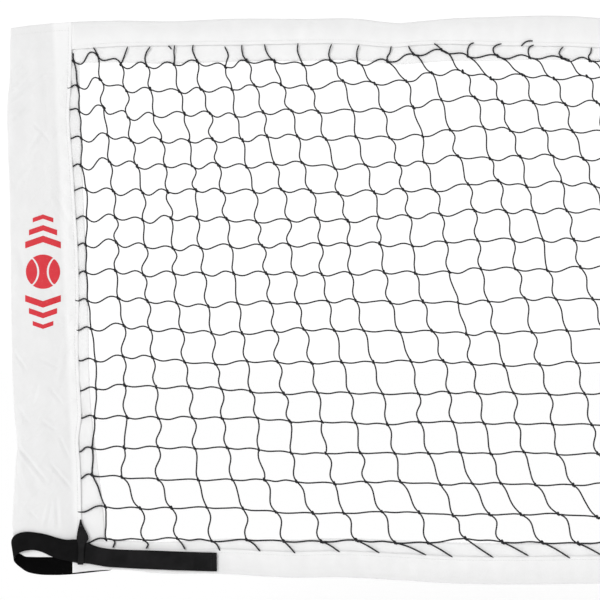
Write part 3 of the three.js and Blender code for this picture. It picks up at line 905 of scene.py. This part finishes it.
sleeve_dent = waves(51, 150)
sleeve_ripple = waves(52, 46)
sleeve_fine = waves(53, 17)

SLEEVE_SEAM_IN = 5.0    # from a sleeve's free edge in front to its seam
LAYER_COLUMNS = 52      # columns of points across each of a sleeve's layers
FOLD_COLUMNS = 5        # and round the fold between them

# Creases pressed into the left sleeve's front: start u and z, end u and z, width and depth.
PRESSED = [
    (10, -620, 54, -674, 2.2, 2.6), (12, -640, 34, -700, 5.0, -1.3), (60, -648, 90, -684, 2.0, 1.9),
    (48, -586, 68, -600, 1.9, 1.7), (70, -700, 72, -746, 2.4, 1.6), (50, -742, 58, -705, 2.2, -1.1),
    (4, -78, 20, -64, 1.8, 1.4), (2, -108, 32, -76, 2.0, 1.6), (3, -124, 56, -80, 2.0, 1.5),
    (6, -150, 30, -128, 2.2, 1.0), (34, -150, 60, -178, 2.0, 1.0), (26, -196, 50, -160, 2.4, -1.0),
    (4, -480, 24, -510, 1.9, 1.6), (44, -496, 72, -508, 2.0, 1.3), (58, -536, 78, -562, 2.0, 1.2),
    (34, -560, 44, -530, 2.2, 0.9), (8, -560, 30, -590, 2.4, 0.9), (74, -610, 88, -640, 2.0, 1.0),
    (28, -716, 44, -732, 2.0, 1.0), (30, -30, 34, -150, 6.0, 0.5), (64, -120, 60, -260, 7.0, -0.5),
    (16, -400, 44, -420, 3.4, 0.7), (60, -390, 84, -440, 3.0, 0.7), (84, -470, 70, -540, 3.4, -0.8),
    (10, -240, 34, -214, 2.6, 0.9), (12, -330, 22, -372, 3.0, 0.7), (66, -250, 88, -296, 3.0, 0.7)]


def pressed(u, z, lines):
    """Relief of straight creases that fade towards their ends."""
    relief = np.zeros(np.broadcast(u, z).shape)
    for u0, z0, u1, z1, width, depth in lines:
        length = math.hypot(u1 - u0, z1 - z0)
        du, dz = (u1 - u0) / length, (z1 - z0) / length
        along = (u - u0) * du + (z - z0) * dz
        off = (u - u0) * dz - (z - z0) * du
        fade = smoothstep(-0.15 * length, 0.25 * length, along)
        fade = fade * smoothstep(1.15 * length, 0.75 * length, along)
        ridge = np.exp(-np.abs(off / width) ** 1.3)
        ridge = ridge - 0.45 * np.exp(-((np.abs(off) - 2.2 * width) / width) ** 2)
        relief = relief + depth * fade * ridge
    return relief


def sleeve_depth(share, z):
    """Half the sleeve's depth at a share of its width: pinched at its top seam and free at its mouth."""
    across = np.sin(math.pi * np.clip(share / 0.93, 0, 1)) ** 0.7
    closed = smoothstep(-3, -60, z)
    mouth = smoothstep(-700, MOUTH, z)
    return 1.25 + across * closed * (2.1 + 0.9 * mouth)


def between_rows(z, right):
    """0 where a row's twine runs into the sleeve, and 1 clear of it."""
    nearest = np.abs(np.asarray(z)[..., None] - KNOTS[-1 if right else 0, :, 2]).min(axis=-1)
    return smoothstep(4, 11, nearest)


def sleeve_layer(u, z, side, right=False):
    """Depth of the front (side -1) or back (side 1) layer at (u, z)."""
    seed = 700 if right else 0
    fold = sleeve_fold(z)
    edge = sleeve_front_edge(z)
    share = (u - fold) / (edge - fold)
    inside = smoothstep(0.0, 0.10, share)
    sewn = np.exp(-((u - edge + SLEEVE_SEAM_IN) / 5.0) ** 2)
    free = inside * (1 - sewn) * smoothstep(0, -14, z)
    y = sleeve_depth(share, z)
    y = y + free * (0.55 * sleeve_dent(u, z * 0.7 + seed) + 0.30 * sleeve_ripple(u, z * 0.6 + seed))
    y = y + inside * 0.09 * sleeve_fine(u * 1.2, z + seed)
    y = y + 0.14 * sewn * sleeve_fine(z * 1.1, u * 0.2 + seed)
    if side < 0:
        # Beside the strap's turn the front layer is pressed in.
        tucked = smoothstep(50, 14, u) * smoothstep(-744, -776, z)
        y = y - 0.75 * free * pressed(u, z, PRESSED) - 4.3 * tucked
    else:
        y = y - 0.6 * free * pressed(u, -z - 740, PRESSED)
    # Down to two thirds of its height the seam draws the edges together between the rows of twine.
    drawn = smoothstep(-640, -520, z) * smoothstep(-64, -74, z)
    flared = smoothstep(edge - 4, edge + 8, u) * (1 - 0.8 * drawn)
    y = np.maximum(y, 1.15 if side > 0 else -0.6)
    y = y + flared * (0.1 + 0.4 * np.abs(sleeve_ripple(z * 0.5, u * 0.1 + seed)))
    near_edge = np.exp(-((u - edge + 2) / (4.0 if side > 0 else 6.0)) ** 2)
    return side * (y - 0.85 * drawn * between_rows(z, right) * near_edge)


def sleeve(hand):
    """A tube for the pole, pressed flat: in from the front's free edge, round the fold, out behind."""
    right = hand == "right"
    z = np.concatenate([np.linspace(0, -12, 6)[:-1], np.linspace(-12, MOUTH, 330)])
    columns = []
    fold_radius = 1.4
    fold = sleeve_fold(z)
    shares = np.arange(LAYER_COLUMNS) / (LAYER_COLUMNS - 1)
    for share in 1 - shares:
        u = fold + fold_radius + (sleeve_front_edge(z) - fold - fold_radius) * share ** 1.05
        columns.append(stack(u, sleeve_layer(u, z, -1, right), z))
    near, far = columns[-1][:, 1], sleeve_layer(fold + fold_radius, z, 1, right)
    for k in range(FOLD_COLUMNS):
        turn = math.radians(30 * (k + 1))
        u = fold + fold_radius * (1 - math.sin(turn))
        y = (near + far) / 2 - (far - near) / 2 * math.cos(turn)
        columns.append(stack(u, y, z))
    for share in shares ** 0.95:
        u = fold + fold_radius + (sleeve_back_edge(z) - fold - fold_radius) * share
        columns.append(stack(u, sleeve_layer(u, z, 1, right), z))
    grid = np.stack(columns, axis=1)
    # The top edge follows the head band's fold, and the mouth's corner at the fold is cut a little round.
    grid[..., 2] += head_top(grid[..., 0]) * smoothstep(-70, 0, grid[..., 2])
    grid[..., 2] += 9.0 * smoothstep(27, 6, grid[..., 0]) * smoothstep(-735, MOUTH, grid[..., 2])
    name = f"{hand}_sleeve"
    piece = new_piece(name + "_cloth", shell(grid, CLOTH), SLEEVE_CLOTH, "polyester", "net", name,
                      one_side(grid, 0, LIT_INNER_CLOTH))
    return grid


def sew_sleeve(hand, grid):
    """Down the free edge through both layers, across the closed top, and round the mouth's hem."""
    z = grid[:, 0, 2]
    seam_u = sleeve_front_edge(z) - SLEEVE_SEAM_IN
    back = LAYER_COLUMNS + FOLD_COLUMNS
    top_seam_row, hem_row = 5, len(z) - 4
    for thread, side, layer, within in (("needle", -1, grid[:, :LAYER_COLUMNS], slice(2, -2)),
                                        ("bobbin", 1, grid[:, back:], slice(2, -6))):
        outward = (0, side, 0)
        depths = []
        for at, row in zip(seam_u, layer):
            order = np.argsort(row[:, 0])
            depths.append(np.interp(at, row[order, 0], row[order, 1]))
        rows = [stitches(stack(seam_u, depths, z)[3:-3], outward)]
        for row in (top_seam_row, hem_row):
            rows.append(stitches(layer[row, within], outward))
        name = f"{hand}_sleeve_{thread}"
        sew(name + "_stitches", rows, name + "_thread")


# ---- Emblem ------------

def patch(outline, rows, columns):
    """A patch of print: outline(s, t) gives (u, z) over the unit square."""
    s, t = np.meshgrid(np.linspace(0, 1, rows), np.linspace(0, 1, columns), indexing="ij")
    u, z = outline(s, t)
    above_cloth = 0.08
    return stack(u, sleeve_layer(u, z, -1) - CLOTH / 2 - above_cloth, z)


def emblem():
    """A plain ball between rows of chevrons, in red print on the left sleeve."""
    low, high = (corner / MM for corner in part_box("emblem_print"))
    middle_u = (low.x + high.x) / 2 - FOLD_X
    middle_z = (low.z + high.z) / 2
    print_thickness = 0.16
    half_width, radius = 26.0, 25.0
    # The ball's seams are arcs about points to its left and right.
    seam_radius, seam_offset, gap = 27.0, 34.0, 1.5

    def ball_edge(z):
        return np.sqrt(np.maximum(radius ** 2 - z ** 2, 0))

    def seam_at(z):
        return seam_offset - np.sqrt(np.maximum(seam_radius ** 2 - z ** 2, 0))

    cross = (radius ** 2 - seam_radius ** 2 + seam_offset ** 2) / (2 * seam_offset)
    seam_top = math.sqrt(radius ** 2 - cross ** 2)
    grids = []

    def between(top, left, right, columns=14):
        """Print between two curves; its rows lie closer together near the ball's top and bottom."""
        def outline(s, t):
            z = top * np.cos(math.pi * s)
            return middle_u + left(z) + (right(z) - left(z)) * t, middle_z + z
        grids.append(patch(outline, 90, columns))

    def middle_edge(z):
        return np.minimum(ball_edge(z), np.where(np.abs(z) < seam_top, seam_at(z) - gap, radius))

    side_top = seam_top - 1.6
    between(side_top, lambda z: seam_at(z) + gap, ball_edge)
    between(side_top, lambda z: -ball_edge(z), lambda z: -seam_at(z) - gap)
    between(radius - 0.01, lambda z: -middle_edge(z), middle_edge, 20)

    for way in (1, -1):
        for k in range(3):
            wide = half_width - 5.5 * k
            thick = 9.5 - 1.6 * k
            base = 34.0 + 19.0 * k
            peak = 9.0 * wide / half_width

            def chevron(s, t):
                u = (2 * t - 1) * wide
                z = base + thick * s + peak * (1 - np.abs(2 * t - 1))
                return middle_u + u, middle_z + way * z
            grids.append(patch(chevron, 5, 25))
    shape = join([shell(grid, print_thickness) for grid in grids])
    new_piece("emblem_ink", shape, RED_INK, "ink", "net", "emblem_print")


# ---- Corner straps ------------

# The webbing's upper edge (u, z), lower edge (u, z) and depth y, from where it is sewn on behind the
# foot band, left behind the sleeve's mouth, round the fold, through the keeper and out to its tip.
STRAP = [
    (152, -777.5, 152, -803, 3.9), (142, -778, 146, -805, 3.9), (122, -779, 131, -806.5, 4.3),
    (104, -780.4, 115, -808.4, 5.0), (82, -782.6, 98, -810.2, 5.8), (62, -784.8, 81, -811.6, 6.4),
    (44, -785.5, 63, -812.0, 6.6), (28, -783.7, 45, -811.4, 6.6), (15.3, -780.0, 27.7, -808.0, 6.0),
    (7.6, -775.8, 17.1, -801.3, 3.8), (4.2, -768, 8.4, -792.4, 0), (5.2, -758.5, 9.0, -784.4, -3.9),
    (12.0, -752.0, 15.4, -778.6, -6.0), (23.4, -748.9, 24.5, -775.4, -6.7),
    (36.5, -749.3, 36.0, -774.4, -6.8), (54, -752.3, 48.2, -777.0, -6.8),
    (70, -757.2, 62.0, -783.3, -6.7), (84, -760.2, 76.4, -788.0, -6.6),
    (96.4, -759.8, 90.5, -791.0, -6.4), (106.6, -761.0, 102, -793.4, -6.4),
    (118, -766.0, 114, -794.0, -6.3), (130, -770.6, 129, -796.4, -6.3), (147, -773.6, 145, -798.9, -6.3),
    (175, -775.0, 175, -800.8, -6.3), (210, -776.0, 210, -802.4, -6.2), (245, -777.4, 245, -803.8, -6.2),
    (280, -778.6, 280, -804.9, -6.3), (302, -779.3, 302, -805.5, -6.3)]


HEM_GAP = WEBBING + 0.15    # between the middles of the two layers of the strap's turned end
KEEPER_U = 105.5            # the keeper's middle


def joint_u(name):
    """Where a left-hand joint's axis stands along the net."""
    found = [j for j in frame["joints"] if j["name"] == name]
    return found[0]["pos_m"][0] / MM - FOLD_X


def strap_lines(samples=420):
    """Upper edge, lower edge and depth of the strap at even steps along it."""
    fine = np.linspace(0, len(STRAP) - 1, 3000)
    dense = np.stack(curves_at(range(len(STRAP)), STRAP, fine), axis=-1)
    middle = stack((dense[:, 0] + dense[:, 2]) / 2, dense[:, 4], (dense[:, 1] + dense[:, 3]) / 2)
    run = reached(np.linalg.norm(np.diff(middle, axis=0), axis=-1))
    even = np.linspace(0, run[-1], samples)
    return np.stack([np.interp(even, run, column) for column in dense.T], axis=-1)


strap_wave = waves(61, 60, 4)


def strap_grid(lines, across=13):
    """A ribbon between the strap's two edges, a little crowned and never quite flat."""
    share = np.linspace(0, 1, across)[None]
    u = lines[:, 0:1] + (lines[:, 2:3] - lines[:, 0:1]) * share
    z = lines[:, 1:2] + (lines[:, 3:4] - lines[:, 1:2]) * share
    y = lines[:, 4:5] + 0.25 * strap_wave(u, z * 1.4) * smoothstep(8, 30, u)
    pinched = np.exp(-((u - KEEPER_U) / 7.0) ** 2) * (lines[:, 4:5] < 0)
    return stack(u, y - 0.9 * pinched * (2 * np.abs(share - 0.5)) ** 2, z)


def strap_piece(hand, part, grid, material, body=None, length_from=0.0):
    """One part of a strap, from webbing whose inner side is painted darker, as painted shade."""
    shape = shell(grid, WEBBING)
    shape[2][:, 0] += length_from
    return new_piece(f"{hand}_strap_webbing_{part}", shape, material, "webbing", body,
                     f"{hand}_strap_{part}", one_side(grid, 0, SHADED_INNER_WEBBING))


def tape_patch(hand, kind, y, material, body):
    """Hook or loop tape at depth y: the extent of its CAD solid, lowered to where the webbing lies."""
    low, high = (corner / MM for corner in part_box(f"left_{kind}_tape"))
    u, t = np.meshgrid(np.linspace(low.x, high.x, 30) - FOLD_X, np.linspace(0, 1, 16), indexing="ij")
    lowered = 1.2
    z = low.z + (high.z - low.z) * t - lowered
    grid = stack(u, y + 0.05 * np.sin(u * 2.1 + z * 1.7), z)
    name = f"{hand}_{kind}_tape"
    piece = new_piece(name + "_piece", shell(grid, 0.6), material, "tape", body, name)


# A keeper's left edge u, right edge u, y and z, from its gathered top to the end sewn down below.
KEEPER = [
    (104.2, 105.4, -3.3, -731.0), (103.4, 106.6, -3.7, -736.0), (101.9, 109.4, -4.1, -742.0),
    (100.6, 112.6, -4.7, -748.5), (99.8, 115.4, -5.8, -754.5), (99.6, 115.8, -7.4, -759.6),
    (101.0, 113.2, -8.6, -763.0), (101.9, 110.6, -8.9, -766.6), (102.2, 109.8, -8.9, -775.0),
    (102.0, 109.6, -8.8, -785.0), (101.2, 109.2, -8.6, -791.0), (101.0, 108.8, -7.9, -794.2),
    (101.0, 108.6, -6.4, -795.6), (101.2, 108.4, -5.0, -794.2), (101.4, 108.2, -4.4, -789.0),
    (101.6, 108.0, -4.3, -776.0)]


def keeper(hand):
    """A short length of narrow webbing: gathered to a point, opened out, over the strap and tucked in."""
    fine = np.linspace(0, len(KEEPER) - 1, 90)
    left, wide, y, z = curves_at(range(len(KEEPER)), KEEPER, fine)
    share = np.linspace(0, 1, 15)[None]
    u = left[:, None] + (wide - left)[:, None] * share
    gathers = (smoothstep(-757, -737, z) * (y > -6.3))[:, None] * (np.arange(len(z)) < 45)[:, None]
    depth = y[:, None] - gathers * 0.55 * np.cos(3 * 2 * math.pi * share)
    depth = depth + 0.5 * smoothstep(-768, -760, z)[:, None] * (2 * share - 1) ** 2
    depth = depth + 1.4 * np.exp(-((z + 760) / 6) ** 2)[:, None] * smoothstep(0.5, 1.0, share)
    shape = shell(stack(u, depth, z[:, None] + 0 * u), 1.1)
    name = f"{hand}_keeper"
    piece = new_piece(name + "_webbing", shape, KEEPER_WEBBING, "webbing", "net", name)


def zigzag(start, end, width, count, outward, lift):
    """Dense bartack stitches between two points."""
    start, end = np.array(start, float), np.array(end, float)
    across = unit(np.cross(end - start, outward)) * width / 2
    tilt = (end - start) / (count - 1) * 0.4
    share = np.array([0.0, 0.15, 0.5, 0.85, 1.0])[:, None]
    rise = np.array([-0.25, 0.15, 0.25, 0.15, -0.25])[:, None]
    runs = []
    for k in range(count):
        centre = start + (end - start) * k / (count - 1)
        a, b = centre - across - tilt, centre + across + tilt
        runs.append(a + (b - a) * share + np.array(outward, float) * (lift + rise))
    return np.array(runs)


def hemmed(part, step, turned_in=12):
    """The strap's free end, which turns under and comes back along itself."""
    under = part[::-1][:int(turned_in / step) + 1].copy()
    under[..., 1] += HEM_GAP
    curve = []
    for angle in (45, 90, 135):
        turn = math.radians(angle)
        bulge = part[-1].copy()
        bulge[:, 0] += HEM_GAP / 2 * math.sin(turn)
        bulge[:, 1] += HEM_GAP / 2 * (1 - math.cos(turn))
        curve.append(bulge)
    return np.concatenate([part, np.array(curve), under])


def bend(piece, hand, axis, z, before, after):
    """Bakes the piece's transform into its mesh and works out two points beside a joint's axis; the webbing
    is not bent.
    """
    start, end = (place([axis + du, 0, z], hand == "right").tolist() for du in (-4.0, 5.0))
    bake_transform(piece)
    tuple(start)
    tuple(end)


def corner(hand):
    """A lower corner's strap in its three parts, with its keeper, tapes and stitching."""
    tail_axis, tail_bend_z = joint_u("left_tail_peel"), -785
    tip_axis, tip_bend_z = joint_u("left_tip_lift"), -792
    before_tail_axis, before_tip_axis = 4.5, 5.0
    loop_tape_y, hook_tape_y = -3.9, -5.0
    lines = strap_lines()
    middle = (lines[:, 0] + lines[:, 2]) / 2
    front = lines[:, 4] < -2
    step = np.hypot(np.diff(middle), np.diff(lines[:, 4]))
    run = reached(step) * MM
    tail_from = int(np.argmax(front & (middle > tail_axis - before_tail_axis)))
    tip_from = int(np.argmax(front & (middle > tip_axis - before_tip_axis)))
    tail, tip = f"{hand}_tail", f"{hand}_tip"
    grid = strap_grid(lines)

    piece = strap_piece(hand, "loop", grid[:tail_from + 1], SHADED_LOOP_WEBBING, "net")

    part = grid[tail_from:tip_from + 1]
    piece = strap_piece(hand, "tail", part, BLACK_WEBBING, length_from=run[tail_from])
    bend(piece, hand, tail_axis, tail_bend_z, "net", tail)

    part = hemmed(grid[tip_from:], step[-1])
    piece = strap_piece(hand, "tip", part, BLACK_WEBBING, length_from=run[tip_from])
    bend(piece, hand, tip_axis, tip_bend_z, tail, tip)
    across_hem = part[-5, 1:-1] - np.array([0, HEM_GAP, 0])
    hem = stitches(across_hem, (0, -1, 0), 2.2, 0.5, WEBBING / 2)
    sew(f"{hand}_tip_hem_stitches", [hem], None, tip, black=True)

    keeper(hand)
    tape_patch(hand, "loop", loop_tape_y, LOOP_TAPE, "net")
    tape_patch(hand, "hook", hook_tape_y, HOOK_TAPE, tail)

    tack = zigzag((102.6, -3.9, -739.6), (106.0, -3.9, -739.8), 3.0, 9, (0, -1, 0), 0.75)
    sew(f"{hand}_keeper_tack_stitches", [tack], f"{hand}_keeper_bartack", black=True)
    left_u, right_u, high, low, y = 126.0, 147.0, -781.5, -800.5, 3.9
    corners = np.array([(left_u, y, high), (right_u, y, high), (right_u, y, low), (left_u, y, low)])
    sides_and_diagonals = ((0, 1), (1, 2), (2, 3), (3, 0), (0, 2), (1, 3))
    box = [stitches(corners[[a, b]], (0, 1, 0), 2.4, 0.5, WEBBING / 2) for a, b in sides_and_diagonals]
    sew(f"{hand}_strap_box_stitches", box, f"{hand}_strap_stitching", black=True)


# ---- The studio ------------

def studio():
    """A pale floor, soft light all round, weaker from the front, and a broad window to the front left."""
    bpy.ops.mesh.primitive_grid_add(size=1, x_subdivisions=24, y_subdivisions=24)
    floor = bpy.context.object
    floor.name = "studio_floor"
    floor_size, below_net = 40, 0.14
    floor.scale = (floor_size, floor_size, 1)
    floor.location = (0, 0, -HEIGHT * MM - below_net)
    floor.data.materials.append(floor_paint())
    floor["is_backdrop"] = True

    world = bpy.data.worlds.new("white_studio")
    world.use_nodes = True
    background = world.node_tree.nodes["Background"]
    background.inputs["Color"].default_value = WHITE
    links = world.node_tree.links
    towards = world.node_tree.nodes.new("ShaderNodeTexCoord")
    split = world.node_tree.nodes.new("ShaderNodeSeparateXYZ")
    links.new(towards.outputs["Generated"], split.inputs["Vector"])
    fall = world.node_tree.nodes.new("ShaderNodeMapRange")
    fall.interpolation_type = "SMOOTHSTEP"
    for socket, value in (("From Min", -0.55), ("From Max", 0.25), ("To Min", 0.44), ("To Max", 1.06)):
        fall.inputs[socket].default_value = value
    links.new(split.outputs["Y"], fall.inputs["Value"])
    links.new(fall.outputs["Result"], background.inputs["Strength"])
    bpy.context.scene.world = world

    sun = bpy.data.lights.new("window_light", "SUN")
    sun.energy = 1.25
    sun.angle = math.radians(32)
    window = bpy.data.objects.new("window_light", sun)
    bpy.context.scene.collection.objects.link(window)
    window.location = (-3, -3, 3)
    window.rotation_euler = Vector((0.45, 0.84, -0.30)).to_track_quat("-Z", "Y").to_euler()


def camera():
    """Square on to the left end of the net, from far off."""
    width_shown, distance = 0.876, 4.6
    middle_u, middle_z = 424.9, -410.3
    data = bpy.data.cameras.new("camera")
    data.sensor_width = 36.0
    data.lens = data.sensor_width * distance / width_shown
    eye = bpy.data.objects.new("camera", data)
    bpy.context.scene.collection.objects.link(eye)
    eye.location = ((FOLD_X + middle_u) * MM, -distance, middle_z * MM)
    eye.rotation_euler = (math.pi / 2, 0, 0)
    data.clip_end = 100
    bpy.context.scene.camera = eye


bpy.context.scene.view_settings.view_transform = "Standard"
bpy.context.scene.view_settings.look = "None"

netting()
head = band("head_band", head_top, head_reach, head_back_reach, 1, 71)
foot = band("foot_band", foot_bottom, foot_reach, foot_back_reach, -1, 72)
sew_band("head", head, 1)
sew_band("foot", foot, -1)
for hand in ("left", "right"):
    sew_sleeve(hand, sleeve(hand))
    corner(hand)
emblem()
studio()
camera()

sizes = {"cad": cad_box, "visual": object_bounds()}
{name: [[float(x) for x in corner_] for corner_ in box] for name, box in sizes.items()}
